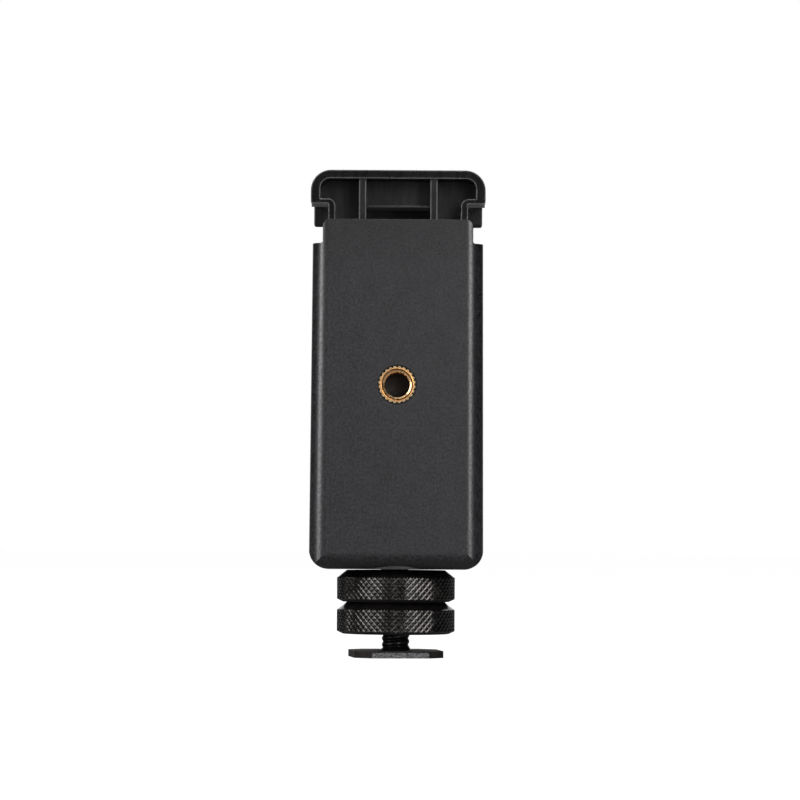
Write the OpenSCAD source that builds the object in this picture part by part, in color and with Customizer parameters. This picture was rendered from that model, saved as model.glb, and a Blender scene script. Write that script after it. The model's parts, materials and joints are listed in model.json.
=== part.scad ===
// Spring phone clip on a shoe adapter with two knurled nuts.
// The stud axis is Z, the foot rests on Z = 0, and the flat back of the clip faces -Y.

/* [Housing] */
// Width of the housing at its bottom
housing_w = 35; // [34:0.1:38]
// Taper of each side wall, in degrees
side_draft = 0.3; // [0:0.05:0.5]
// Height of the bottom of the clip above the foot
housing_z = 17.9; // [17.5:0.1:22]
// Height of the shoulders above the foot
shoulder_z = 83.3; // [82:0.1:86]
// Height of the thin neck above the shoulders
neck_h = 4.8; // [3:0.1:7]
// How far the neck stands back from each side of the housing
neck_inset = 2.4; // [2:0.1:2.7]
// Thickness of the side walls at their foot
side_wall = 3.25; // [3:0.05:3.5]
// Thickness of the back wall and of the neck
back_wall = 2.1; // [1.6:0.1:2.4]
// Distance of the flat back from the stud axis
back_offset = 13.5; // [13:0.1:15]
// Distance of the jaw tips from the stud axis
front_offset = 14.2; // [13:0.1:16]
// Radius of the long edges of the back
back_round = 3.3; // [2:0.1:3.5]
// Radius of the two lower corners
foot_round = 4; // [3:0.1:5]
// Diameter of the round seat for the upper nut
seat_d = 24.6; // [20:0.1:25]

/* [Slider] */
// How far the head stands out beyond each side of the housing
head_overhang = 0.1; // [0:0.05:1]
// Height of the slider's head
head_h = 6.8; // [6.5:0.1:7.2]
// Radius of the head's upper corners
head_round = 4.1; // [2:0.1:4.4]
// Thickness of the rim along the stem
rim_t = 1.4; // [1:0.1:1.6]
// Thickness of the two long ribs
rib_t = 1.4; // [1:0.05:1.5]
// Thickness of the stem's web
web_t = 1.8; // [1.4:0.1:2.2]
// How far the slider is drawn out from its closed stop
drawn_out = 7.8; // [7:0.1:8]

/* [Jaws] */
// Clear height between the two jaw pads
grip_gap = 67; // [66:0.1:68]
// Thickness of the upper jaw's plastic
jaw_t = 5.3; // [5:0.1:6]
// How far each lip reaches past its pad
lip_reach = 3.2; // [2:0.1:4]
// Thickness of the lips
lip_t = 2.6; // [2:0.1:3]
// Margin of plastic beside a jaw pad
pad_margin = 2.25; // [2:0.05:4]
// Distance between the ridges of the pads
ridge_pitch = 1.6; // [1.2:0.1:2.4]
// Height of the ridges of the pads
ridge_h = 0.35; // [0.2:0.05:0.5]

/* [Thread inserts] */
// Outside diameter of a brass insert
insert_d = 7.6; // [7.4:0.1:7.8]
// Length of the rear insert
insert_l = 5.8; // [4:0.1:6.5]
// Height of the rear insert's axis above the foot
rear_thread_z = 54.9; // [53.5:0.1:56]
// Smallest diameter of the rear thread
thread_minor_d = 5.1; // [4.9:0.05:5.3]
// Number of knurl teeth on an insert
insert_teeth = 24; // [16:1:28]

/* [Shoe adapter] */
// Outside diameter of a knurled nut
nut_d = 24; // [20:0.1:24.4]
// Thickness of a knurled nut
nut_t = 6.4; // [6.2:0.05:6.65]
// Radius lost by the upper chamfer of a nut
nut_top_chamfer = 2; // [1:0.1:2.4]
// Height of the upper chamfer of a nut
nut_top_chamfer_h = 1.55; // [1:0.05:1.8]
// Radius lost by the lower chamfer of a nut
nut_low_chamfer = 1.2; // [0.6:0.1:1.4]
// Height of the lower chamfer of a nut
nut_low_chamfer_h = 0.55; // [0.5:0.05:1]
// Number of knurl diamonds around a nut
knurl_count = 80; // [60:2:96]
// Number of half diamonds across a nut's rim
knurl_rows = 9; // [7:2:11]
// Depth of the knurl
knurl_depth = 0.32; // [0.2:0.02:0.4]
// Outside diameter of the stud's thread
stud_d = 6.2; // [6:0.05:6.35]
// Diameter of the stud between the foot and the lower nut
stud_neck_d = 5.6; // [5:0.1:5.8]
// Side of the square foot
foot_w = 18.1; // [17:0.1:18.6]
// Thickness of the foot
foot_t = 1.4; // [1.2:0.1:2]
// Length cut off each corner of the foot
foot_corner = 3.3; // [2:0.1:4]
// Turn of the foot against the clip, in degrees
foot_turn = 7; // [0:1:45]

/* [Springs] */
// Outside diameter of a spring
spring_d = 4.4; // [4:0.1:4.6]
// Wire diameter of a spring
wire_d = 0.6; // [0.5:0.05:0.7]
// Turns of a spring
spring_turns = 12; // [10:1:14]
// Room on each side of a spring in its channel
spring_room = 0.18; // [0.1:0.01:0.4]

/* [Hidden] */
$fn = 72;

// Clearance between the slider and the housing, and between parts that are screwed together
slide_gap = 0.2;
seam = 0.05;
running_gap = 0.05;
press_gap = 0.02;
// Reach of a solid that only cuts, far past the part or just past a face
past = 60;
over = 1;
// How far a solid is let into the one it stands on
bite = 0.5;

// Planes across the depth, from back to front
back_y = -back_offset;
front_y = front_offset;
channel_y = back_y + back_wall;
stem_back_y = channel_y + slide_gap;
cover_back_y = -3.2;
stem_front_y = cover_back_y - slide_gap;
web_y = stem_front_y - web_t;

// Heights of the jaws
jaw_bed_z = housing_z + 6;
pad_proud = 1;
pad_sink = 0.8;
lower_grip_z = jaw_bed_z + pad_proud;
upper_grip_z = lower_grip_z + grip_gap;
upper_bed_z = upper_grip_z + pad_proud;
head_z = upper_bed_z + jaw_t - head_h;
head_top_z = head_z + head_h;
pad_lip_margin = 1.2;
jaw_pad_y = 0.1;
lip_y = front_y - lip_t;

// Widths that follow the housing
neck_w = housing_w - 2 * neck_inset;
neck_round = 1.5;
neck_fillet = 0.4;
head_w = housing_w + 2 * head_overhang;
pad_w = housing_w - 2 * pad_margin;

// Rounds of the long front edges, the lower edges, the jaw lips and the cover
front_round = 3.6;
low_back_round = 3.2;
jaw_round = 3;
lip_front_round = 1.4;
lip_back_round = 0.8;
head_low_round = 0.5;
cover_side_round = 2;
cover_top_round = 1.5;

// Walls round the hollows under the jaw pads
core_side_wall = 3;
core_lip_wall = 1;
core_back_wall = 2;
core_floor_t = 2;
core_back_y = 1;
insert_boss_wall = 2.8;

// Slider stem, whose ribs leave room for the springs
stem_x = housing_w / 2 - side_wall - slide_gap;
rib_out = stem_x - rim_t - spring_d - 2 * spring_room;
rib_in = rib_out - rib_t;
floor_z = housing_z + 7.2;
stem_z = floor_z + drawn_out + 0.3;
end_wall = 1.3;
head_top_wall = 1.7;
head_side_wall = 1.9;
head_low_wall = 1;
pocket_round = 2;
rim_round = 1.5;
rib_set_back = 0.4;

// Screws of the cover and their bosses
screw_boss_r = 2.4;
screw_r = 0.9;
screw_head_r = 1.8;
screw_head_h = 0.85;
screw_l = 7;
cross_l = 2;
cross_w = 0.4;
boss_room = 0.52;
boss_wall = 1.2;
screw_room = 0.2;
front_pad_margin = 3.15;
front_pad_w = housing_w - 2 * front_pad_margin;
upper_screw = [rib_in - boss_room - screw_boss_r, shoulder_z - 6.3];
lower_screw = [front_pad_w / 2 - screw_head_r - 0.3, jaw_bed_z + 3.3];
rear_boss_r = insert_d / 2 + boss_wall;
step_z = lower_screw.y + screw_boss_r + drawn_out + 0.4;

// Springs, their seats and the tabs that hold their upper ends
spring_x = (rib_out + stem_x - rim_t) / 2;
spring_y = (stem_back_y + web_y) / 2;
spring_low_z = step_z + head_low_wall;
spring_top_z = shoulder_z - 4.3;
tab_t = 2;
tab_w = 4;
spigot_r = 1.2;
spigot_h = 2;
tab_gap = 0.4;

// Front pad and its recess in the cover
front_pad_z = [lower_grip_z + 0.2, shoulder_z - 2.1];
front_pad_sink = 0.8;
front_pad_proud = 0.6;
front_pad_round = 2;

// Nuts and stud, hung from the bottom of the clip
nut_seat_gap = 0.25;
nut_gap = 0.1;
upper_nut_z = housing_z - nut_seat_gap - nut_t;
lower_nut_z = upper_nut_z - nut_gap - nut_t;
stud_top_z = housing_z + 4.2;
bottom_insert_l = 4.4;
insert_end_gap = 0.1;
seat_t = 2;
stud_tail_r = 2.2;

plastic = [0.14, 0.14, 0.15];
dark_plastic = [0.1, 0.1, 0.11];
rubber = [0.06, 0.06, 0.06];
brass = [0.78, 0.6, 0.34];
black_metal = [0.12, 0.12, 0.13];
steel = [0.5, 0.5, 0.52];

// An outline in X and Z, extruded from y0 to y1
module extrude_y(y0, y1) {
    translate([0, y1, 0])
        rotate([90, 0, 0])
            linear_extrude(y1 - y0)
                children();
}

// An outline in Y and Z, extruded from x0 to x1
module extrude_x(x0, x1) {
    translate([x0, 0, 0])
        rotate([90, 0, 90])
            linear_extrude(x1 - x0)
                children();
}

module span(a, b) {
    translate(a)
        square(b - a);
}

module box(a, b) {
    translate(a)
        cube(b - a);
}

// What a round of radius r takes off the corner at p, whose sides run the way of s
module corner_cut(p, r, s) {
    translate(p)
        mirror([s.x < 0 ? 1 : 0, 0])
            mirror([0, s.y < 0 ? 1 : 0])
                difference() {
                    translate([-over, -over])
                        square(r + over);
                    translate([r, r])
                        circle(r);
                }
}

// A cylinder along Y
module rod_y(x, z, r, y0, y1) {
    translate([x, y1, z])
        rotate([90, 0, 0])
            cylinder(r = r, h = y1 - y0);
}

module both_sides() {
    for (m = [0, 1])
        mirror([m, 0, 0])
            children();
}

// One side of the clip, leaning in by the draft, with its long edges rounded
module side_slab() {
    translate([housing_w / 2, 0, housing_z])
        rotate([0, -side_draft, 0])
            translate([0, 0, -past])
                linear_extrude(shoulder_z + past)
                    difference() {
                        span([-past, back_y], [0, front_y]);
                        corner_cut([0, back_y], back_round, [-1, 1]);
                        corner_cut([0, front_y], front_round, [-1, -1]);
                    }
}

// The clip's width, leaning in at both sides
module clip_width() {
    intersection() {
        side_slab();
        mirror([1, 0, 0])
            side_slab();
    }
}

// Section of the housing and of the lower jaw, in Y and Z
module housing_section() {
    difference() {
        union() {
            span([back_y, housing_z], [cover_back_y, shoulder_z]);
            span([back_y, housing_z], [front_y, jaw_bed_z]);
            span([lip_y, housing_z], [front_y, lower_grip_z + lip_reach]);
        }
        corner_cut([back_y, housing_z], low_back_round, [1, 1]);
        corner_cut([front_y, housing_z], jaw_round, [-1, 1]);
        corner_cut([front_y, lower_grip_z + lip_reach], lip_front_round, [-1, -1]);
        corner_cut([lip_y, lower_grip_z + lip_reach], lip_back_round, [1, -1]);
    }
}

module housing_outline() {
    difference() {
        span([-housing_w / 2, housing_z], [housing_w / 2, shoulder_z]);
        corner_cut([-housing_w / 2, housing_z], foot_round, [1, 1]);
        corner_cut([housing_w / 2, housing_z], foot_round, [-1, 1]);
    }
}

// The back wall's thin continuation above the shoulders, with a fillet at its foot
module neck() {
    intersection() {
        clip_width();
        extrude_y(back_y - over, channel_y) {
            difference() {
                span([-neck_w / 2, shoulder_z - back_wall], [neck_w / 2, shoulder_z + neck_h]);
                both_sides()
                    corner_cut([neck_w / 2, shoulder_z + neck_h], neck_round, [-1, -1]);
            }
            both_sides()
                corner_cut([neck_w / 2, shoulder_z], neck_fillet, [1, 1]);
        }
    }
}

// Tab that holds the upper end of a spring, with its spigot
module spring_tab() {
    box([spring_x - tab_w / 2, channel_y - bite, spring_top_z],
        [spring_x + tab_w / 2, web_y - tab_gap, spring_top_z + tab_t]);
    translate([spring_x, spring_y, spring_top_z - spigot_h])
        cylinder(r = spigot_r, h = spigot_h + bite);
}

// Hollows under the pad of the lower jaw, beside the boss of the bottom insert
module lower_jaw_cores() {
    both_sides()
        box([insert_d / 2 + insert_boss_wall, core_back_y, housing_z + core_floor_t],
            [housing_w / 2 - core_side_wall, lip_y - core_lip_wall, jaw_bed_z]);
}

module rear_housing() {
    color(plastic)
        difference() {
            union() {
                difference() {
                    union() {
                        intersection() {
                            clip_width();
                            extrude_x(-past, past)
                                housing_section();
                            extrude_y(-past, past)
                                housing_outline();
                        }
                        neck();
                        translate([0, 0, housing_z])
                            cylinder(d = seat_d, h = seat_t);
                    }
                    box([-stem_x - slide_gap, channel_y, floor_z],
                        [stem_x + slide_gap, cover_back_y + over, shoulder_z + past]);
                    lower_jaw_cores();
                    box([-pad_w / 2 - seam, jaw_pad_y - seam, jaw_bed_z - pad_sink],
                        [pad_w / 2 + seam, lip_y, jaw_bed_z + over]);
                }
                rod_y(0, rear_thread_z, rear_boss_r, channel_y - bite, stem_front_y);
                both_sides() {
                    rod_y(upper_screw.x, upper_screw.y, screw_boss_r, channel_y - bite, cover_back_y);
                    rod_y(lower_screw.x, lower_screw.y, screw_boss_r, channel_y - bite, cover_back_y);
                    spring_tab();
                }
            }
            rod_y(0, rear_thread_z, insert_d / 2, back_y - over, back_y + insert_l + insert_end_gap);
            translate([0, 0, housing_z - over])
                cylinder(d = insert_d, h = over + bottom_insert_l + insert_end_gap);
            both_sides() {
                rod_y(upper_screw.x, upper_screw.y, screw_r, channel_y, cover_back_y + over);
                rod_y(lower_screw.x, lower_screw.y, screw_r, channel_y, cover_back_y + over);
            }
        }
}

module front_cover() {
    color(plastic)
        difference() {
            intersection() {
                clip_width();
                translate([0, 0, jaw_bed_z + seam])
                    linear_extrude(shoulder_z - jaw_bed_z - seam)
                        difference() {
                            span([-housing_w / 2, cover_back_y + seam], [housing_w / 2, 0]);
                            corner_cut([-housing_w / 2, 0], cover_side_round, [1, -1]);
                            corner_cut([housing_w / 2, 0], cover_side_round, [-1, -1]);
                        }
                extrude_x(-past, past)
                    difference() {
                        span([cover_back_y, jaw_bed_z + seam], [0, shoulder_z]);
                        corner_cut([0, shoulder_z], cover_top_round, [-1, -1]);
                    }
            }
            extrude_y(-front_pad_sink, over)
                rounded_span([-front_pad_w / 2 - seam, front_pad_z[0] - seam],
                    [front_pad_w / 2 + seam, front_pad_z[1] + seam], front_pad_round);
            both_sides()
                for (p = [upper_screw, lower_screw]) {
                    rod_y(p.x, p.y, screw_r + screw_room, cover_back_y - over, 0);
                    rod_y(p.x, p.y, screw_head_r + screw_room, -front_pad_sink - screw_head_h - seam, 0);
                }
        }
}

// A rectangle with four round corners
module rounded_span(a, b, r) {
    difference() {
        span(a, b);
        corner_cut(a, r, [1, 1]);
        corner_cut([b.x, a.y], r, [-1, 1]);
        corner_cut(b, r, [-1, -1]);
        corner_cut([a.x, b.y], r, [1, -1]);
    }
}

module front_pad() {
    color(rubber)
        extrude_y(-front_pad_sink, front_pad_proud)
            rounded_span([-front_pad_w / 2, front_pad_z[0]], [front_pad_w / 2, front_pad_z[1]],
                front_pad_round);
}

module cover_screw(p) {
    head_y = -front_pad_sink - screw_head_h;
    difference() {
        union() {
            rod_y(p.x, p.y, screw_head_r, head_y, -front_pad_sink - seam);
            rod_y(p.x, p.y, screw_r, head_y - screw_l, head_y + screw_head_h / 2);
        }
        translate([p.x, -front_pad_sink, p.y]) {
            cube([cross_l, screw_head_h, cross_w], center = true);
            cube([cross_w, screw_head_h, cross_l], center = true);
        }
    }
}

module cover_screws() {
    color(steel)
        both_sides()
            for (p = [upper_screw, lower_screw])
                cover_screw(p);
}

// Points of the ridged face of a pad, from a to b along one axis
function ridges(a, b) =
    let (n = 2 * round((b - a) / ridge_pitch))
        [for (k = [1 : n - 1]) [a + (b - a) * k / n, k % 2 == 1 ? ridge_h : 0]];

// Section of a jaw pad, with the bed at v = 0, its face at v = pad_proud and its lip side at u1
module pad_section(u0, u1, lip_v) {
    face = pad_proud - ridge_h;
    wrap = 1;
    polygon(concat(
        [[u0, -pad_sink], [u0, face]],
        [for (p = ridges(u0, u1 - wrap)) [p.x, face + p.y]],
        [[u1 - wrap, face], [u1 - wrap, lip_v], [u1, lip_v], [u1, -pad_sink]]
    ));
}

module lower_jaw_pad() {
    color(rubber)
        extrude_x(-pad_w / 2, pad_w / 2)
            translate([0, jaw_bed_z])
                pad_section(jaw_pad_y, lip_y - press_gap, pad_proud + lip_reach - pad_lip_margin);
}

module upper_jaw_pad() {
    color(rubber)
        extrude_x(-pad_w / 2, pad_w / 2)
            translate([0, upper_bed_z])
                mirror([0, 1])
                    pad_section(jaw_pad_y, lip_y - press_gap, pad_proud + lip_reach - pad_lip_margin);
}

// Outline of the straight knurl of an insert
module toothed_ring(d, teeth) {
    root = 0.25;
    polygon([
        for (i = [0 : teeth - 1], q = [[0.05, 0], [0.45, 0], [0.55, root], [0.95, root]])
            let (a = 360 * (i + q[0]) / teeth)
                (d / 2 - q[1]) * [cos(a), sin(a)]
    ]);
}

// Brass insert along Z, with straight knurl teeth from end to end
module thread_insert(length, bore_d) {
    difference() {
        linear_extrude(length)
            toothed_ring(insert_d - press_gap, insert_teeth);
        translate([0, 0, -over])
            cylinder(d = bore_d, h = length + 2 * over);
    }
}

module rear_insert() {
    color(brass)
        translate([0, back_y, rear_thread_z])
            rotate([-90, 0, 0])
                thread_insert(insert_l, thread_minor_d);
}

module bottom_insert() {
    color(brass)
        translate([0, 0, housing_z])
            thread_insert(bottom_insert_l, stud_d + 2 * running_gap);
}

// Section of the head and of the upper jaw, in Y and Z
module head_section() {
    difference() {
        union() {
            span([stem_back_y, head_z], [stem_front_y, head_top_z]);
            span([stem_front_y - bite, upper_bed_z], [front_y, head_top_z]);
            span([lip_y, upper_grip_z - lip_reach], [front_y, head_top_z]);
        }
        corner_cut([front_y, head_top_z], jaw_round, [-1, -1]);
        corner_cut([front_y, upper_grip_z - lip_reach], lip_front_round, [-1, 1]);
        corner_cut([lip_y, upper_grip_z - lip_reach], lip_back_round, [1, 1]);
    }
}

// Outline of the head, in X and Z
module head_outline(low) {
    difference() {
        span([-head_w / 2, low], [head_w / 2, head_top_z]);
        corner_cut([-head_w / 2, head_top_z], head_round, [1, -1]);
        corner_cut([head_w / 2, head_top_z], head_round, [-1, -1]);
        corner_cut([-head_w / 2, low], head_low_round, [1, 1]);
        corner_cut([head_w / 2, low], head_low_round, [-1, 1]);
    }
}

module head() {
    intersection() {
        extrude_x(-past, past)
            head_section();
        union() {
            extrude_y(stem_back_y, stem_front_y)
                head_outline(head_z);
            extrude_y(stem_front_y - bite, front_y)
                head_outline(upper_grip_z - lip_reach);
        }
        translate([0, 0, head_z - past])
            linear_extrude(2 * past)
                difference() {
                    span([-head_w / 2, stem_back_y], [head_w / 2, front_y]);
                    corner_cut([-head_w / 2, front_y], front_round, [1, -1]);
                    corner_cut([head_w / 2, front_y], front_round, [-1, -1]);
                }
    }
}

module stem_outline() {
    span([-stem_x, step_z], [stem_x, head_z + over]);
    span([-rib_out, stem_z], [rib_out, step_z + over]);
}

// Open pockets in the back of the slider, right half
module slider_pockets() {
    span([rib_out, spring_low_z], [stem_x - rim_t, head_top_z - head_top_wall]);
    difference() {
        span([rib_out, head_z + head_low_wall], [head_w / 2 - head_side_wall, head_top_z - head_top_wall]);
        corner_cut([head_w / 2 - head_side_wall, head_top_z - head_top_wall], pocket_round, [-1, -1]);
    }
    corner_cut([stem_x - rim_t, head_z + head_low_wall], rim_round, [1, -1]);
}

// Hollows under the pad of the upper jaw
module upper_jaw_cores() {
    low = [stem_front_y + core_back_wall, upper_bed_z];
    high = [lip_y - core_lip_wall, head_top_z - core_floor_t];
    both_sides()
        box([rib_out, low.x, low.y], [head_w / 2 - core_side_wall, high.x, high.y]);
    box([-rib_in, low.x, low.y], [rib_in, high.x, high.y]);
}

module slider() {
    color(dark_plastic)
        union() {
            difference() {
                union() {
                    head();
                    extrude_y(stem_back_y, stem_front_y)
                        stem_outline();
                }
                both_sides()
                    extrude_y(stem_back_y - over, web_y)
                        slider_pockets();
                extrude_y(stem_back_y - over, web_y)
                    span([-rib_in, stem_z + end_wall], [rib_in, head_top_z - head_top_wall]);
                extrude_y(stem_back_y - over, stem_back_y + rib_set_back)
                    span([-rib_out, stem_z - over], [rib_out, head_top_z - head_top_wall]);
                extrude_y(stem_back_y - over, stem_front_y + over)
                    span([-rib_in, stem_z + end_wall], [rib_in, head_z]);
                upper_jaw_cores();
                box([-pad_w / 2 - seam, jaw_pad_y - seam, upper_bed_z - over],
                    [pad_w / 2 + seam, lip_y, upper_bed_z + pad_sink]);
            }
            both_sides()
                translate([spring_x, spring_y, spring_low_z - bite])
                    cylinder(r = spigot_r, h = spigot_h + bite);
        }
}

// Wire of a spring, swept along its helix from z0 to z1
module spring(x, z0, z1) {
    steps = 12;
    sides = 6;
    r = (spring_d - wire_d) / 2;
    rings = spring_turns * steps;
    rise = z1 - z0 - wire_d;
    points = [
        for (i = [0 : rings], k = [0 : sides - 1])
            let (a = 360 * i / steps, b = 360 * k / sides, q = r + wire_d / 2 * cos(b))
                [x + q * cos(a), spring_y + q * sin(a), z0 + wire_d / 2 + rise * i / rings + wire_d / 2 * sin(b)]
    ];
    walls = [
        for (i = [0 : rings - 1], k = [0 : sides - 1])
            let (n = (k + 1) % sides, a = i * sides, b = (i + 1) * sides)
                each [[a + k, a + n, b + n], [a + k, b + n, b + k]]
    ];
    ends = [
        [for (k = [sides - 1 : -1 : 0]) k],
        [for (k = [0 : sides - 1]) rings * sides + k]
    ];
    polyhedron(points, concat(walls, ends), convexity = 10);
}

module left_spring() {
    color(steel)
        spring(-spring_x, spring_low_z, spring_top_z);
}

module right_spring() {
    color(steel)
        spring(spring_x, spring_low_z, spring_top_z);
}

// Radius of the knurled rim at column i of row j, where hollows and points take turns
function knurl_r(i, j) = nut_d / 2 - ((i + j) % 2 == 0 ? knurl_depth : 0);

// Height of that place, where the two outer rows lie on the cones of the chamfers
function knurl_z(i, j) =
    let (
        low = nut_low_chamfer_h,
        high = nut_t - nut_top_chamfer_h,
        lost = nut_d / 2 - knurl_r(i, j)
    )
        j == 0 ? low - lost * nut_low_chamfer_h / nut_low_chamfer :
        j == knurl_rows ? high + lost * nut_top_chamfer_h / nut_top_chamfer :
        low + (high - low) * j / knurl_rows;

// Outer skin of a nut with a diamond knurl, each diamond a low pyramid
module knurled_blank() {
    columns = 2 * knurl_count;
    profile = concat(
        [for (i = [0 : columns - 1]) [nut_d / 2 - nut_low_chamfer, 0]],
        [for (j = [0 : knurl_rows], i = [0 : columns - 1]) [knurl_r(i, j), knurl_z(i, j)]],
        [for (i = [0 : columns - 1]) [nut_d / 2 - nut_top_chamfer, nut_t]]
    );
    points = [
        for (n = [0 : len(profile) - 1])
            let (a = 360 * (n % columns) / columns)
                [profile[n][0] * cos(a), profile[n][0] * sin(a), profile[n][1]]
    ];
    last = knurl_rows + 2;
    walls = [
        for (j = [0 : last - 1], i = [0 : columns - 1])
            let (
                k = (i + 1) % columns,
                a = j * columns + i,
                b = j * columns + k,
                c = (j + 1) * columns + k,
                d = (j + 1) * columns + i,
                rising = (i + j + 1) % 2 == 0
            )
                each rising ? [[a, c, b], [a, d, c]] : [[a, d, b], [b, d, c]]
    ];
    caps = [
        [for (i = [0 : columns - 1]) i],
        [for (i = [columns - 1 : -1 : 0]) last * columns + i]
    ];
    polyhedron(points, concat(walls, caps), convexity = 4);
}

module knurled_nut(z) {
    color(black_metal)
        translate([0, 0, z])
            difference() {
                knurled_blank();
                translate([0, 0, -over])
                    cylinder(d = stud_d + 2 * running_gap, h = nut_t + 2 * over);
            }
}

module upper_nut() {
    knurled_nut(upper_nut_z);
}

module lower_nut() {
    knurled_nut(lower_nut_z);
}

module stud() {
    tip = 0.6;
    flare = 0.7;
    neck_r = stud_neck_d / 2;
    color(black_metal)
        rotate_extrude()
            polygon(concat(
                [[0, 0], [stud_tail_r, 0], [stud_tail_r, foot_t]],
                [for (a = [0 : 15 : 90]) [neck_r + flare * (1 - sin(a)), foot_t + flare * (1 - cos(a))]],
                [
                    [neck_r, lower_nut_z - 0.4],
                    [stud_d / 2, lower_nut_z],
                    [stud_d / 2, stud_top_z - tip],
                    [stud_d / 2 - tip, stud_top_z],
                    [0, stud_top_z]
                ]
            ));
}

module shoe_foot() {
    h = foot_w / 2;
    c = h - foot_corner;
    color(black_metal)
        difference() {
            rotate([0, 0, foot_turn])
                linear_extrude(foot_t)
                    polygon([[c, -h], [h, -c], [h, c], [c, h], [-c, h], [-h, c], [-h, -c], [-c, -h]]);
            translate([0, 0, -over])
                cylinder(r = stud_tail_r, h = foot_t + 2 * over);
        }
}

rear_housing();
front_cover();
front_pad();
cover_screws();
lower_jaw_pad();
rear_insert();
bottom_insert();
slider();
upper_jaw_pad();
left_spring();
right_spring();
upper_nut();
lower_nut();
stud();
shoe_foot();
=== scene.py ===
"""Spring phone clip on a shoe adapter: its threads and knurls, its finishes, the studio light and the camera."""
import json
import math

import bpy
from mathutils import Matrix, Vector


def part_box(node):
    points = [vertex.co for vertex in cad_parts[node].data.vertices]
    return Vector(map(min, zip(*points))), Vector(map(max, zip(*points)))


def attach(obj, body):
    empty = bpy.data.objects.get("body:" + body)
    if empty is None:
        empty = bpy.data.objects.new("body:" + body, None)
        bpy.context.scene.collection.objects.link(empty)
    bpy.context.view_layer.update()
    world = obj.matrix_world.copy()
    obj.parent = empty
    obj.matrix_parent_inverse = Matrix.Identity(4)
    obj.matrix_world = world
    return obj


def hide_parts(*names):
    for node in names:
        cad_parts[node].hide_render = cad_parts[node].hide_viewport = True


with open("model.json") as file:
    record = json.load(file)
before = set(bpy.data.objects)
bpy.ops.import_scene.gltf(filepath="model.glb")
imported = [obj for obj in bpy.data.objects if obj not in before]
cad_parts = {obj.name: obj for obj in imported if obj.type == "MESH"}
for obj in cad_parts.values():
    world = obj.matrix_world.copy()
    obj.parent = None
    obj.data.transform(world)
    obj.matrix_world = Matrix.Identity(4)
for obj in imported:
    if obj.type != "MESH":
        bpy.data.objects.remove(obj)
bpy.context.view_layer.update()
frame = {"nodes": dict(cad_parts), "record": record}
nodes = frame["nodes"]
MM = 0.001


class Wire:
    """The output of a node, shader or geometry, which can be used in a sum."""

    def __init__(self, tree, socket):
        self.tree, self.socket = tree, socket

    def math(self, operation, *others):
        return add_node(self.tree, "ShaderNodeMath", {"operation": operation}, dict(enumerate([self, *others])))

    def __add__(self, other):
        return self.math("ADD", other)

    def __radd__(self, other):
        return self.math("ADD", other)

    def __sub__(self, other):
        return self.math("SUBTRACT", other)

    def __rsub__(self, other):
        return self.math("MULTIPLY", -1.0).math("ADD", other)

    def __mul__(self, other):
        return self.math("MULTIPLY", other)

    def __rmul__(self, other):
        return self.math("MULTIPLY", other)

    def __truediv__(self, other):
        return self.math("DIVIDE", other)

    def ramp(self, low, high, start=0.0, end=1.0):
        """Runs smoothly from start to end as the value goes from low to high."""
        return add_node(self.tree, "ShaderNodeMapRange", {"interpolation_type": "SMOOTHSTEP"},
                        {"Value": self, "From Min": low, "From Max": high, "To Min": start, "To Max": end})

    def part(self, name):
        return Wire(self.tree, self.socket.node.outputs[name])


def add_node(tree, kind, settings=None, sockets=None, output=0):
    """Any node: its settings go first, then the values or wires of its sockets."""
    node = tree.nodes.new(kind)
    for name, value in (settings or {}).items():
        setattr(node, name, value)
    for name, value in (sockets or {}).items():
        if isinstance(value, Wire):
            tree.links.new(value.socket, node.inputs[name])
        else:
            node.inputs[name].default_value = value
    return Wire(tree, node.outputs[output])


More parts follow.
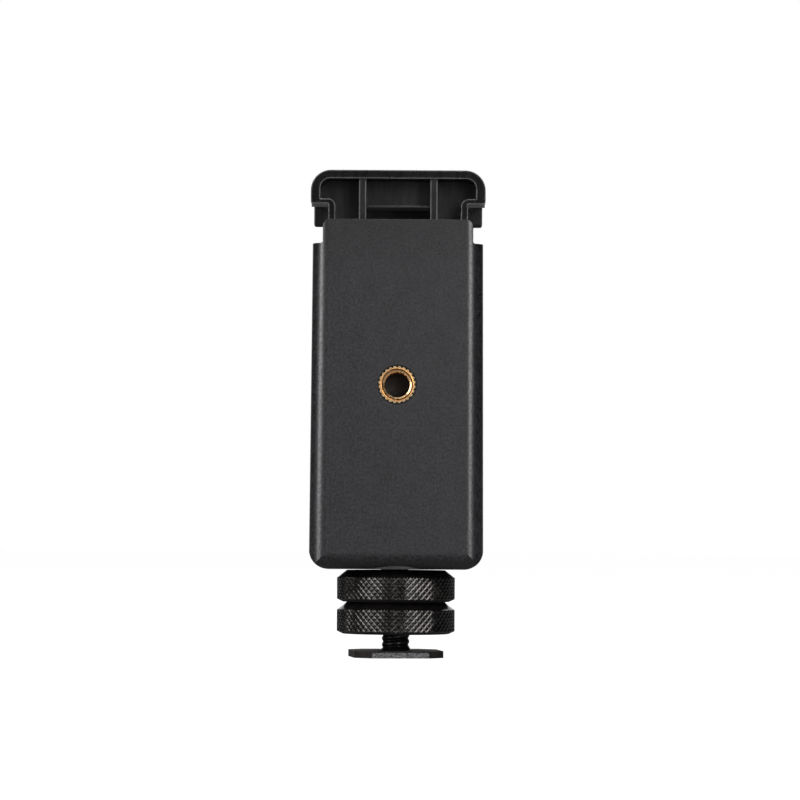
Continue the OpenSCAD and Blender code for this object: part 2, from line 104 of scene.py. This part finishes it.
class Finish:
    """A procedural material on one Principled shader."""

    def __init__(self, name, **shader):
        self.material = bpy.data.materials.new(name)
        self.material.use_nodes = True
        self.tree = self.material.node_tree
        self.shader = self.tree.nodes["Principled BSDF"]
        for socket, value in shader.items():
            self.shader.inputs[socket.replace("_", " ")].default_value = value
        self.place = self.node("ShaderNodeTexCoord").part("Object")

    def node(self, kind, settings=None, sockets=None, output=0):
        return add_node(self.tree, kind, settings, sockets, output)

    def feed(self, socket, wire):
        self.tree.links.new(wire.socket, self.shader.inputs[socket])

    def noise(self, size, detail=2.0, roughness=0.5, place=None):
        """Noise whose patches are about size metres across."""
        return self.node("ShaderNodeTexNoise", {}, {
            "Vector": place or self.place, "Scale": 1 / size, "Detail": detail, "Roughness": roughness,
        })

    def mix(self, factor, dark, light):
        return self.node("ShaderNodeMix", {"data_type": "RGBA"}, {0: factor, 6: dark, 7: light}, 2)

    def axes(self):
        """The place on the object as three numbers, in metres."""
        split = self.node("ShaderNodeSeparateXYZ", {}, {0: self.place})
        return [split.part(name) for name in "XYZ"]

    def outer_edge(self, radius, low=0.02, high=0.25):
        """1 on an outer edge and 0 on a flat or in a corner, from how far the rounded normal leans."""
        bevel = self.node("ShaderNodeBevel", {"samples": 4}, {"Radius": radius})
        flat = self.node("ShaderNodeNewGeometry").part("True Normal")
        lean = self.node("ShaderNodeVectorMath", {"operation": "DOT_PRODUCT"}, {0: bevel, 1: flat}, 1)
        open_sky = self.node("ShaderNodeAmbientOcclusion", {"samples": 4, "only_local": True},
                             {"Distance": radius * 1.5}, "AO")
        return (1 - lean).ramp(low, high) * open_sky.ramp(0.72, 0.95)

    def recess_shade(self, reach, low, high):
        """1 deep inside a hole or a gap and 0 in the open."""
        sky = self.node("ShaderNodeAmbientOcclusion", {"samples": 4}, {"Distance": reach}, "AO")
        return 1 - sky.ramp(low, high)

    def relief(self, height, depth, edge_radius=None):
        """Bump of the given depth in metres, over edges rounded by edge_radius."""
        sockets = {"Height": height, "Distance": depth, "Strength": 1.0}
        if edge_radius:
            sockets["Normal"] = self.node("ShaderNodeBevel", {"samples": 4}, {"Radius": edge_radius})
        self.feed("Normal", self.node("ShaderNodeBump", {}, sockets))


def grained_plastic(insert_low, insert_high, bottom, top):
    """Spark-eroded charcoal moulding of the housing and the cover, with painted shade deep in its recesses, round the
    rear insert and towards its top and bottom, and a painted highlight on its edges.
    """
    finish = Finish("grained_plastic", IOR=1.5, Specular_IOR_Level=0.75)
    grain = finish.noise(0.5 * MM, detail=3.0, roughness=0.7)
    cloud = finish.noise(3.5 * MM, detail=4.0, roughness=0.6)
    across, depth, up = finish.axes()
    # Painted highlight: outer edges above the bottom are mixed towards a lighter grey.
    edge = finish.outer_edge(0.35 * MM) * up.ramp(bottom + 0.5 * MM, bottom + 3 * MM)
    tone = cloud.ramp(0.3, 0.7) * 0.08 + grain.ramp(0.42, 0.58) * 0.92
    # Painted shade: the colour darkens over the top 14 mm and more strongly over the bottom 4 mm.
    tone = tone * up.ramp(top - 14 * MM, top, 1.0, 0.55) * up.ramp(bottom, bottom + 4 * MM, 0.25, 1.0)
    rise = up - (insert_low.z + insert_high.z) / 2
    radius = (across * across + rise * rise).math("SQRT")
    rim = insert_high.x
    # Painted shade: the housing is mixed to near black deep in its recesses and in a thin ring round the rear insert.
    insert_gap_shade = radius.ramp(rim + 0.2 * MM, rim + 0.5 * MM, 1.0, 0.0) * depth.math("LESS_THAN", insert_low.y + 1 * MM)
    recess_shade = finish.recess_shade(8 * MM, 0.1, 0.4).math("MAXIMUM", insert_gap_shade)
    body = finish.mix(tone, (0.0005, 0.0005, 0.0007, 1), (0.0265, 0.0268, 0.031, 1))
    finish.feed("Base Color", finish.mix(edge * 0.6, finish.mix(recess_shade, body, (0.001, 0.001, 0.001, 1)),
                                         (0.045, 0.045, 0.047, 1)))
    finish.feed("Roughness", grain.ramp(0.3, 0.7, 0.36, 0.26) + cloud.ramp(0.3, 0.7, -0.01, 0.01) + recess_shade * 0.6
                + up.ramp(bottom, bottom + 1.5 * MM, 0.3, 0.0))
    finish.relief(grain, 0.012 * MM, edge_radius=0.12 * MM)
    return finish.material


def smooth_plastic(rim_depth):
    """Smoother moulding of the slider: shiny rims and ribs with a painted highlight on their edges, duller pocket
    floors painted lighter than the rims as light on them, faint flow marks.
    """
    finish = Finish("smooth_plastic", IOR=1.47, Specular_IOR_Level=0.25, Coat_Roughness=0.22)
    across, depth, up = finish.axes()
    flow_place = finish.node("ShaderNodeCombineXYZ", {}, {0: across * 3.0, 1: depth, 2: up * 0.6})
    flow = finish.noise(2.4 * MM, detail=3.0, place=flow_place)
    grain = finish.noise(0.3 * MM, detail=2.0)
    # Painted highlight: the rim and rib edges are mixed, in specks, towards light grey.
    edge = finish.outer_edge(0.5 * MM, 0.01, 0.2) * grain.ramp(0.3, 0.6, 0.6, 1.0)
    # Painted light: the pocket floors behind the rims get a much lighter colour than the rims.
    behind_rim = depth.ramp(rim_depth + 0.1 * MM, rim_depth + 0.4 * MM)
    sunk = behind_rim * 0.55 + depth.ramp(rim_depth + 4 * MM, rim_depth + 5.7 * MM) * 0.45
    rim = finish.mix(flow.ramp(0.3, 0.7), (0.0015, 0.0015, 0.0016, 1), (0.003, 0.003, 0.0032, 1))
    floor = finish.mix(flow.ramp(0.3, 0.7), (0.013, 0.013, 0.0135, 1), (0.023, 0.023, 0.024, 1))
    finish.feed("Base Color", finish.mix(edge * 0.9, finish.mix(sunk, rim, floor), (0.3, 0.3, 0.305, 1)))
    finish.feed("Roughness", flow.ramp(0.3, 0.7, 0.26, 0.34) + grain.ramp(0.35, 0.65, -0.02, 0.02) + sunk * 0.1)
    finish.feed("Coat Weight", edge)
    finish.relief(grain * 0.6 + flow * 0.4, 0.004 * MM, edge_radius=0.3 * MM)
    return finish.material


def soft_rubber(name, base, rough, grain_size):
    """Matt rubber with a fine open grain and a dusty bloom in patches."""
    finish = Finish(name, IOR=1.5, Specular_IOR_Level=0.35)
    grain = finish.noise(grain_size, detail=4.0, roughness=0.65)
    bloom = finish.noise(4 * MM, detail=4.0)
    light = [min(1.0, value * 1.9) for value in base]
    finish.feed("Base Color", finish.mix(bloom.ramp(0.35, 0.75) * 0.6 + grain.ramp(0.4, 0.7) * 0.25,
                                         (*base, 1), (*light, 1)))
    finish.feed("Roughness", grain.ramp(0.3, 0.7, rough - 0.08, rough + 0.06))
    finish.relief(grain, 0.02 * MM, edge_radius=0.1 * MM)
    return finish.material


def turned_brass():
    """Bright brass of the inserts, with a fine grain and a little tarnish."""
    finish = Finish("turned_brass", Metallic=1.0)
    tarnish = finish.noise(1.2 * MM, detail=4.0)
    fine = finish.noise(0.12 * MM, detail=2.0)
    edge = finish.outer_edge(0.12 * MM)
    body = finish.mix(tarnish.ramp(0.45, 0.8), (0.96, 0.66, 0.36, 1), (0.84, 0.52, 0.25, 1))
    finish.feed("Base Color", finish.mix(edge * 0.6, body, (0.98, 0.8, 0.56, 1)))
    finish.feed("Roughness", tarnish.ramp(0.3, 0.7, 0.24, 0.34) + fine.ramp(0.3, 0.7, -0.02, 0.03))
    finish.relief(fine, 0.002 * MM)
    return finish.material


def anodised(rim_radius):
    """Black anodised aluminium with painted glints on the flanks of the knurl, dull on the turned faces."""
    finish = Finish("black_anodised", IOR=1.6, Specular_IOR_Level=0.4)
    across, depth, _ = finish.axes()
    radius = (across * across + depth * depth).math("SQRT")
    patch = finish.noise(1.6 * MM, detail=3.0)
    fine = finish.noise(0.1 * MM, detail=2.0)
    # Painted glints: the flanks of the knurl, short of its points, are mixed in patches towards light grey and made
    # partly metallic.
    in_knurl = radius.ramp(rim_radius - 0.24 * MM, rim_radius - 0.18 * MM)
    flank = in_knurl * radius.ramp(rim_radius - 0.06 * MM, rim_radius - 0.005 * MM, 1.0, 0.0)
    knurl_glint = flank * patch.ramp(0.35, 0.62, 0.35, 1.0)
    facing = finish.node("ShaderNodeNewGeometry").part("True Normal")
    level_face = finish.node("ShaderNodeSeparateXYZ", {}, {0: facing}).part("Z").math("ABSOLUTE").ramp(0.8, 0.95)
    body = finish.mix(patch.ramp(0.3, 0.7), (0.003, 0.0025, 0.0025, 1), (0.006, 0.005, 0.005, 1))
    finish.feed("Base Color", finish.mix(knurl_glint * 0.9, body, (0.12, 0.112, 0.108, 1)))
    finish.feed("Metallic", knurl_glint.ramp(0.03, 0.3))
    finish.feed("Roughness", fine.ramp(0.3, 0.7, 0.11, 0.17) + patch.ramp(0.3, 0.7, -0.02, 0.02) + level_face * 0.7)
    finish.relief(fine, 0.004 * MM)
    return finish.material


def blackened_steel():
    """Oiled black steel of the stud, a little brighter on the thread's crests."""
    finish = Finish("blackened_steel", Metallic=0.85)
    patch = finish.noise(0.9 * MM, detail=3.0)
    fine = finish.noise(0.08 * MM, detail=2.0)
    edge = finish.outer_edge(0.12 * MM)
    body = finish.mix(patch.ramp(0.3, 0.7), (0.02, 0.02, 0.021, 1), (0.045, 0.043, 0.042, 1))
    finish.feed("Base Color", finish.mix(edge * 0.4, body, (0.25, 0.24, 0.23, 1)))
    finish.feed("Roughness", fine.ramp(0.3, 0.7, 0.24, 0.4))
    finish.relief(fine, 0.004 * MM)
    return finish.material


def painted_foot(top_height):
    """Black coated sheet of the foot, speckled with bare metal along its front and rear cut edges."""
    finish = Finish("coated_foot", IOR=1.2)
    fine = finish.noise(0.3 * MM, detail=3.0, roughness=0.7)
    patch = finish.noise(2.2 * MM, detail=2.0)
    _, _, up = finish.axes()
    facing = finish.node("ShaderNodeNewGeometry").part("True Normal")
    fore = finish.node("ShaderNodeSeparateXYZ", {}, {0: facing}).part("Y").math("ABSOLUTE").ramp(0.85, 0.95)
    edge = finish.outer_edge(0.18 * MM)
    under = up.ramp(top_height - 0.4 * MM, top_height - 0.2 * MM, 1.0, 0.0)
    chips = fore * under * fine.ramp(0.4, 0.6, 0.12, 1.0) * patch.ramp(0.25, 0.6, 0.5, 1.0)
    bare = chips.math("MAXIMUM", edge * (1 - fore) * fine.ramp(0.4, 0.6) * 0.3)
    body = finish.mix(patch.ramp(0.3, 0.7), (0.014, 0.0125, 0.012, 1), (0.028, 0.0245, 0.0235, 1))
    finish.feed("Base Color", finish.mix(bare, body, (0.24, 0.237, 0.25, 1)))
    finish.feed("Metallic", bare * 0.3)
    finish.feed("Roughness", fine.ramp(0.3, 0.7, 0.55, 0.7))
    finish.relief(fine, 0.012 * MM, edge_radius=0.1 * MM)
    return finish.material


def drawn_wire(name, tone):
    """Plated steel of the springs and screws."""
    finish = Finish(name, Metallic=1.0)
    fine = finish.noise(0.15 * MM, detail=3.0)
    body = finish.mix(fine.ramp(0.3, 0.7), (*[value * 0.8 for value in tone], 1), (*tone, 1))
    finish.feed("Base Color", body)
    finish.feed("Roughness", fine.ramp(0.3, 0.7, 0.25, 0.4))
    finish.relief(fine, 0.004 * MM)
    return finish.material


class Lathe:
    """A Geometry Nodes tree that wraps a grid round an axis: columns go round, rows follow the section."""

    def __init__(self, name, sizes, columns, rows):
        self.tree = bpy.data.node_groups.new(name, "GeometryNodeTree")
        self.tree.interface.new_socket("Geometry", in_out="OUTPUT", socket_type="NodeSocketGeometry")
        self.values = {}
        for size, value in sizes.items():
            socket = self.tree.interface.new_socket(size, in_out="INPUT", socket_type="NodeSocketFloat")
            self.values[socket.identifier] = value
        inputs = self.tree.nodes.new("NodeGroupInput")
        self.sizes = {size: Wire(self.tree, inputs.outputs[size]) for size in sizes}
        self.grid = self.node("GeometryNodeMeshGrid", {}, {
            "Size X": 1.0, "Size Y": 1.0, "Vertices X": columns + 1, "Vertices Y": rows,
        })
        place = self.node("ShaderNodeSeparateXYZ", {}, {0: self.node("GeometryNodeInputPosition")})
        self.turn = place.part("X") + 0.5
        self.row = ((place.part("Y") + 0.5) * (rows - 1)).math("ROUND")

    def node(self, kind, settings=None, sockets=None, output=0):
        return add_node(self.tree, kind, settings, sockets, output)

    def choose(self, test, yes, no):
        """yes where test is 1, no where it is 0."""
        return test * yes + (1 - test) * no

    def vee(self, phase, half_width):
        """0 in the middle of a groove at each whole phase, and 1 beyond half_width of it."""
        near = (phase + 0.5).math("FRACT") - 0.5
        return (near.math("ABSOLUTE") / half_width).math("MINIMUM", 1.0)

    def make(self, name, radius, height, material, place=None):
        """The turned piece as a plain mesh, with its place in the mesh."""
        angle = self.turn * (2 * math.pi)
        spot = self.node("ShaderNodeCombineXYZ", {}, {
            0: radius * angle.math("COSINE"), 1: radius * angle.math("SINE"), 2: height,
        })
        moved = self.node("GeometryNodeSetPosition", {}, {"Geometry": self.grid, "Position": spot})
        joined = self.node("GeometryNodeMergeByDistance", {}, {"Geometry": moved, "Distance": 0.002 * MM})
        real = self.node("GeometryNodeRealizeInstances", {}, {0: joined})
        painted = self.node("GeometryNodeSetMaterial", {}, {"Geometry": real, "Material": material})
        end = self.tree.nodes.new("NodeGroupOutput")
        self.tree.links.new(painted.socket, end.inputs[0])
        carrier = bpy.data.objects.new(name + "_carrier", bpy.data.meshes.new(name + "_carrier"))
        bpy.context.scene.collection.objects.link(carrier)
        modifier = carrier.modifiers.new("shape", "NODES")
        modifier.node_group = self.tree
        for identifier, value in self.values.items():
            modifier[identifier] = value
        bpy.context.view_layer.update()
        shaped = carrier.evaluated_get(bpy.context.evaluated_depsgraph_get())
        mesh = bpy.data.meshes.new_from_object(shaped)
        carrier.modifiers.remove(modifier)
        bpy.data.objects.remove(carrier)
        mesh.transform(place or Matrix.Identity(4))
        mesh.name = name
        mesh.materials.clear()
        mesh.materials.append(material)
        piece = bpy.data.objects.new(name, mesh)
        bpy.context.scene.collection.objects.link(piece)
        return piece


def knurled_nut(name, node, material):
    """A nut with a chamfered, diamond-knurled rim, in the place of its CAD node."""
    low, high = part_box(node)
    diamonds, steps = 58, 12
    pitch = (high.x - low.x) * math.pi / diamonds
    wall_rows = round((high.z - low.z) / (pitch / steps)) + 1
    lathe = Lathe("diamond_knurled_nut", {
        "Diameter": high.x - low.x, "Thickness": high.z - low.z, "Bore": 6.3 * MM,
        "Knurl depth": 0.17 * MM, "Upper face": 20 * MM, "Upper chamfer": 1.55 * MM,
        "Lower face": 21.6 * MM, "Lower chamfer": 0.55 * MM,
    }, diamonds * steps, wall_rows + 3)
    size = lathe.sizes
    wall_row = (lathe.row - 1.0).math("MAXIMUM", 0.0).math("MINIMUM", wall_rows - 1.0)
    height = wall_row / (wall_rows - 1.0) * size["Thickness"]
    round_phase, up_phase = lathe.turn * float(diamonds), wall_row / float(steps)
    point = lathe.vee(round_phase + up_phase, 0.27).math("MINIMUM", lathe.vee(round_phase - up_phase, 0.27))
    rim = size["Diameter"] / 2.0 - size["Knurl depth"] * (1 - point)
    upper = size["Upper face"] / 2.0 + (size["Thickness"] - height) * (
        (size["Diameter"] - size["Upper face"]) / 2.0 / size["Upper chamfer"])
    lower = size["Lower face"] / 2.0 + height * (
        (size["Diameter"] - size["Lower face"]) / 2.0 / size["Lower chamfer"])
    skin = rim.math("MINIMUM", upper).math("MINIMUM", lower)
    on_wall = lathe.row.math("GREATER_THAN", 0.5) * lathe.row.math("LESS_THAN", wall_rows + 0.5)
    radius = lathe.choose(on_wall, skin, size["Bore"] / 2.0)
    back_down = lathe.row.math("GREATER_THAN", wall_rows + 1.5)
    piece = lathe.make(name, radius, height * (1 - back_down), material, Matrix.Translation((0, 0, low.z)))
    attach(piece, node_body[node])
    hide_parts(node)
    return piece


node_body = {
    member: body
    for body, members in frame["record"]["behaviour"]["bodies"].items()
    for member in members
}


def threaded_stud(material):
    """The stud with its rolled thread, which is shallower below the lower nut."""
    low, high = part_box("stud")
    nut_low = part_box("lower_nut")[0].z
    foot_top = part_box("shoe_foot")[1].z
    rows = 240
    lathe = Lathe("threaded_stud", {
        "Length": high.z - low.z, "Pitch": 1.27 * MM, "Crest": 6.2 * MM, "Root": 5.0 * MM,
        "Neck crest": 5.6 * MM, "Neck root": 5.1 * MM, "Tail": 4.4 * MM,
    }, 96, rows + 2)
    size = lathe.sizes
    height = (lathe.row - 1.0).math("MAXIMUM", 0.0).math("MINIMUM", rows - 1.0) / (rows - 1.0) * size["Length"]
    ridge = lathe.vee(height / size["Pitch"] - lathe.turn, 0.4)
    above = height.ramp(nut_low - 0.35 * MM, nut_low)
    crest = size["Neck crest"] + (size["Crest"] - size["Neck crest"]) * above
    root = size["Neck root"] + (size["Root"] - size["Neck root"]) * above
    flare = (foot_top + 0.8 * MM - height).math("MAXIMUM", 0.0)
    shank = (root + (crest - root) * ridge) / 2.0 + flare * flare / (0.9 * MM)
    tip = (size["Length"] - height) + (size["Crest"] / 2.0 - 0.6 * MM)
    in_foot = height.math("LESS_THAN", foot_top)
    side = lathe.choose(in_foot, size["Tail"] / 2.0, shank.math("MINIMUM", tip))
    on_side = lathe.row.math("GREATER_THAN", 0.5) * lathe.row.math("LESS_THAN", rows + 0.5)
    piece = lathe.make("threaded_stud", side * on_side, height, material, Matrix.Translation((0, 0, low.z)))
    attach(piece, node_body["stud"])
    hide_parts("stud")
    return piece


def threaded_insert(material):
    """The rear insert: straight knurl teeth, a turned groove and a chamfered mouth in its face, a threaded bore."""
    low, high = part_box("rear_insert")
    teeth, steps, bore_rows = 24, 16, 60
    lathe = Lathe("threaded_insert", {
        "Diameter": high.x - low.x, "Length": high.y - low.y, "Tooth depth": 0.32 * MM, "Edge": 0.08 * MM,
        "Groove": 6.44 * MM, "Groove width": 0.16 * MM, "Groove depth": 0.1 * MM,
        "Pitch": 1.27 * MM, "Minor": 5.1 * MM, "Major": 6.1 * MM, "Mouth": 5.8 * MM, "Mouth depth": 0.22 * MM,
    }, teeth * steps, 7 + bore_rows)
    size = lathe.sizes
    slope = lathe.vee(lathe.turn * float(teeth), 0.5)
    knurl = size["Diameter"] / 2.0 - size["Tooth depth"] * (1 - slope) * (1 - slope)
    level = lathe.turn * 0.0
    groove, half_width = size["Groove"] / 2.0, size["Groove width"] / 2.0
    face = [
        (groove - half_width, level),
        (groove, level + size["Groove depth"]),
        (groove + half_width, level),
        (knurl - size["Edge"], level),
        (knurl, level + size["Edge"]),
        (knurl, level + size["Length"]),
    ]
    # The bore's rows run back from the inner end to the mouth
    bore_row = lathe.row - float(len(face))
    depth = size["Length"] * (1 - bore_row / float(bore_rows))
    cut = (1 - lathe.vee(depth / size["Pitch"] - lathe.turn, 0.42)) * depth.ramp(0.3 * MM, 1 * MM)
    wall = size["Minor"] / 2.0 + (size["Major"] - size["Minor"]) / 2.0 * cut
    mouth = size["Mouth"] / 2.0 - depth * ((size["Mouth"] - size["Minor"]) / 2.0 / size["Mouth depth"])
    radius, height = wall.math("MAXIMUM", mouth), depth
    for index, (ring_radius, ring_height) in enumerate(face):
        here = (lathe.row - float(index)).math("ABSOLUTE").math("LESS_THAN", 0.5)
        radius = lathe.choose(here, ring_radius, radius)
        height = lathe.choose(here, ring_height, height)
    inward = Matrix.Translation((0, low.y, (low.z + high.z) / 2)) @ Matrix.Rotation(-math.pi / 2, 4, "X")
    piece = lathe.make("threaded_insert", radius, height, material, inward)
    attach(piece, node_body["rear_insert"])
    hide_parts("rear_insert")
    return piece


def dress(node, material):
    nodes[node].data.materials.clear()
    nodes[node].data.materials.append(material)


def studio():
    """White floor and surround with one soft box at each side, one above and one on the far side."""
    reach = 4.0
    floor_mesh = bpy.data.meshes.new("studio_floor")
    floor_mesh.from_pydata([(-reach, -reach, 0), (reach, -reach, 0), (reach, reach, 0), (-reach, reach, 0)],
                           [], [(0, 1, 2, 3)])
    floor_mesh.materials.append(floor_paint())
    floor = bpy.data.objects.new("studio_floor", floor_mesh)
    bpy.context.scene.collection.objects.link(floor)
    world_light(0.35)
    middle = Vector((0, 0, 0.05))
    # Each box: its turn from the camera's side, its height angle, distance, width, height and power
    for name, turn, rise, distance, width, height, power in (
        ("left_box", -53, 16, 0.8, 0.35, 0.6, 3.7),
        ("right_box", 26, 14, 0.9, 0.3, 0.6, 3.3),
        ("top_box", -5, 47, 0.8, 0.7, 0.2, 1.8),
        ("far_box", 165, 40, 0.9, 0.6, 0.4, 4.0),
    ):
        turn, rise = math.radians(turn), math.radians(rise)
        away = Vector((math.sin(turn) * math.cos(rise), -math.cos(turn) * math.cos(rise), math.sin(rise)))
        lamp = bpy.data.lights.new(name, "AREA")
        lamp.shape = "RECTANGLE"
        lamp.size, lamp.size_y, lamp.energy = width, height, power
        holder = bpy.data.objects.new(name, lamp)
        holder.location = middle + away * distance
        holder.rotation_euler = (-away).to_track_quat("-Z", "Y").to_euler()
        bpy.context.scene.collection.objects.link(holder)


def world_light(plain_level):
    """Plain light from all sides, white where it is seen. Mirrored, it is white behind, dim in front, dark beside."""
    world = bpy.data.worlds.new("studio")
    bpy.context.scene.world = world
    world.use_nodes = True
    tree = world.node_tree
    background = tree.nodes["Background"]
    background.inputs["Color"].default_value = (1, 1, 1, 1)
    path = add_node(tree, "ShaderNodeLightPath")
    direction = add_node(tree, "ShaderNodeTexCoord").part("Generated")
    backward = add_node(tree, "ShaderNodeSeparateXYZ", {}, {0: direction}).part("Y")
    seen = path.part("Is Camera Ray").math("MAXIMUM", path.part("Is Transmission Ray"))
    mirrored = path.part("Is Glossy Ray")
    mirror_level = backward.ramp(-0.95, -0.5, 0.32, 0.03) + backward.ramp(0.75, 1.0, 0.0, 0.97)
    level = seen + mirrored * mirror_level + (1 - seen - mirrored) * plain_level
    tree.links.new(level.socket, background.inputs["Strength"])


def floor_paint():
    """Matt white floor that shows white where it is seen and keeps the object's shadow."""
    material = bpy.data.materials.new("floor_paint")
    material.use_nodes = True
    tree = material.node_tree
    tree.nodes.remove(tree.nodes["Principled BSDF"])
    path = add_node(tree, "ShaderNodeLightPath")
    seen = path.part("Is Camera Ray").math("MAXIMUM", path.part("Is Transmission Ray"))
    seen = seen.math("MAXIMUM", path.part("Is Glossy Ray") * 0.05)
    matt = add_node(tree, "ShaderNodeBsdfDiffuse", {}, {"Color": (0.2, 0.2, 0.2, 1)})
    glow = add_node(tree, "ShaderNodeEmission", {}, {"Color": (1, 1, 1, 1), "Strength": seen * 0.92})
    both = add_node(tree, "ShaderNodeAddShader", {}, {0: matt, 1: glow})
    tree.links.new(both.socket, tree.nodes["Material Output"].inputs["Surface"])
    return material


def camera():
    """A long lens level with the lower jaw, tilted up to the middle of the clip."""
    distance, eye_height, aim_height = 0.7, 0.0250, 0.0518
    side_shift, roll = 0.0006, math.radians(0.35)
    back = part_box("rear_housing")[0].y
    lens = bpy.data.cameras.new("camera")
    lens.sensor_width = 36
    lens.lens = 36 * distance / 0.160
    lens.clip_start, lens.clip_end = 0.01, 30
    holder = bpy.data.objects.new("camera", lens)
    tilt = math.atan2(aim_height - eye_height, distance)
    holder.matrix_world = (Matrix.Translation((side_shift, back - distance, eye_height))
                           @ Matrix.Rotation(math.pi / 2 + tilt, 4, "X") @ Matrix.Rotation(roll, 4, "Z"))
    bpy.context.scene.collection.objects.link(holder)
    bpy.context.scene.camera = holder


housing_finish = grained_plastic(*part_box("rear_insert"), *[corner.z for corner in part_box("rear_housing")])
slider_finish = smooth_plastic(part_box("slider")[0].y)
jaw_finish = soft_rubber("jaw_rubber", (0.016, 0.016, 0.017), 0.72, 0.25 * MM)
sheet_finish = soft_rubber("sheet_rubber", (0.013, 0.013, 0.014), 0.8, 0.35 * MM)
brass_finish = turned_brass()
nut_finish = anodised(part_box("upper_nut")[1].x)
stud_finish = blackened_steel()
foot_finish = painted_foot(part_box("shoe_foot")[1].z)
spring_finish = drawn_wire("spring_wire", (0.55, 0.55, 0.57))
screw_finish = drawn_wire("screw_plate", (0.5, 0.5, 0.5))
for node, material in {
    "rear_housing": housing_finish, "front_cover": housing_finish, "slider": slider_finish,
    "upper_jaw_pad": jaw_finish, "lower_jaw_pad": jaw_finish, "front_pad": sheet_finish,
    "rear_insert": brass_finish, "bottom_insert": brass_finish, "upper_nut": nut_finish,
    "lower_nut": nut_finish, "stud": stud_finish, "shoe_foot": foot_finish,
    "left_spring": spring_finish, "right_spring": spring_finish, "cover_screws": screw_finish,
}.items():
    dress(node, material)
knurled_nut("upper_knurled_nut", "upper_nut", nut_finish)
knurled_nut("lower_knurled_nut", "lower_nut", nut_finish)
threaded_stud(stud_finish)
threaded_insert(brass_finish)
studio()
camera()
bpy.context.scene.view_settings.view_transform = "Standard"
